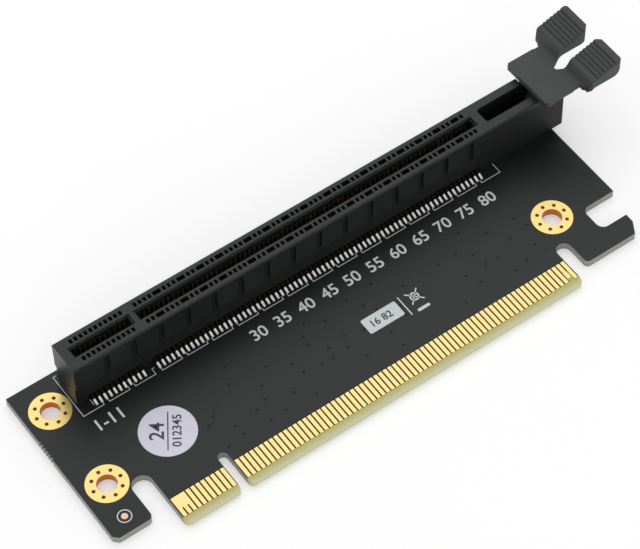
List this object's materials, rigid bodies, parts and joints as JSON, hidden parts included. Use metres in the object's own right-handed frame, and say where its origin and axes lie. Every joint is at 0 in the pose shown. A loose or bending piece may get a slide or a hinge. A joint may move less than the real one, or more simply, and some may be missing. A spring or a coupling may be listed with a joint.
{
  "type": "pcie riser card",
  "caption": "Right-angle PCI Express x16 riser card: gold-fingered circuit board carrying an upright black slot with a ribbed retention latch",
  "frame": {"origin": "back face of the board at the tip of the card edge, on the centre line of the key notch", "axes": "+X along the card edge from contact 1 towards contact 82, +Y from the card edge towards the slot, +Z out of the front face, the way the slot opens"},
  "size_m": [0.1235, 0.0415, 0.0186],
  "materials": {
    "solder_mask": "satin black solder mask over glass laminate",
    "gold_plating": "smooth pale gold plating",
    "contact_alloy": "gold-flashed spring strip with tinned tails",
    "label_paper": "matt pale lavender film label",
    "housing_plastic": "black glass-filled moulding, slight gloss",
    "latch_plastic": "dark grey moulding, matt"
  },
  "bodies": {
    "card": {"circuit_board": "solder_mask", "supply_finger_front": "gold_plating", "edge_fingers_front_short": "gold_plating", "edge_fingers_front_long": "gold_plating", "presence_finger_front": "gold_plating", "presence_finger_back": "gold_plating", "supply_finger_back": "gold_plating", "edge_fingers_back_short": "gold_plating", "edge_fingers_back_long": "gold_plating", "plated_holes": "gold_plating", "round_label": "label_paper", "slot_housing": "housing_plastic", "contacts_front_short": "contact_alloy", "contacts_front_long": "contact_alloy", "contacts_rear_short": "contact_alloy", "contacts_rear_long": "contact_alloy"},
    "latch": {"retention_latch": "latch_plastic"}
  },
  "joints": [
    {"name": "latch_hinge", "type": "hinge", "parent": "card", "child": "latch", "pos_m": [0.0882, 0.0334, 0.0048], "axis": [0, 1, 0], "range_deg": [0, 25]}
  ]
}
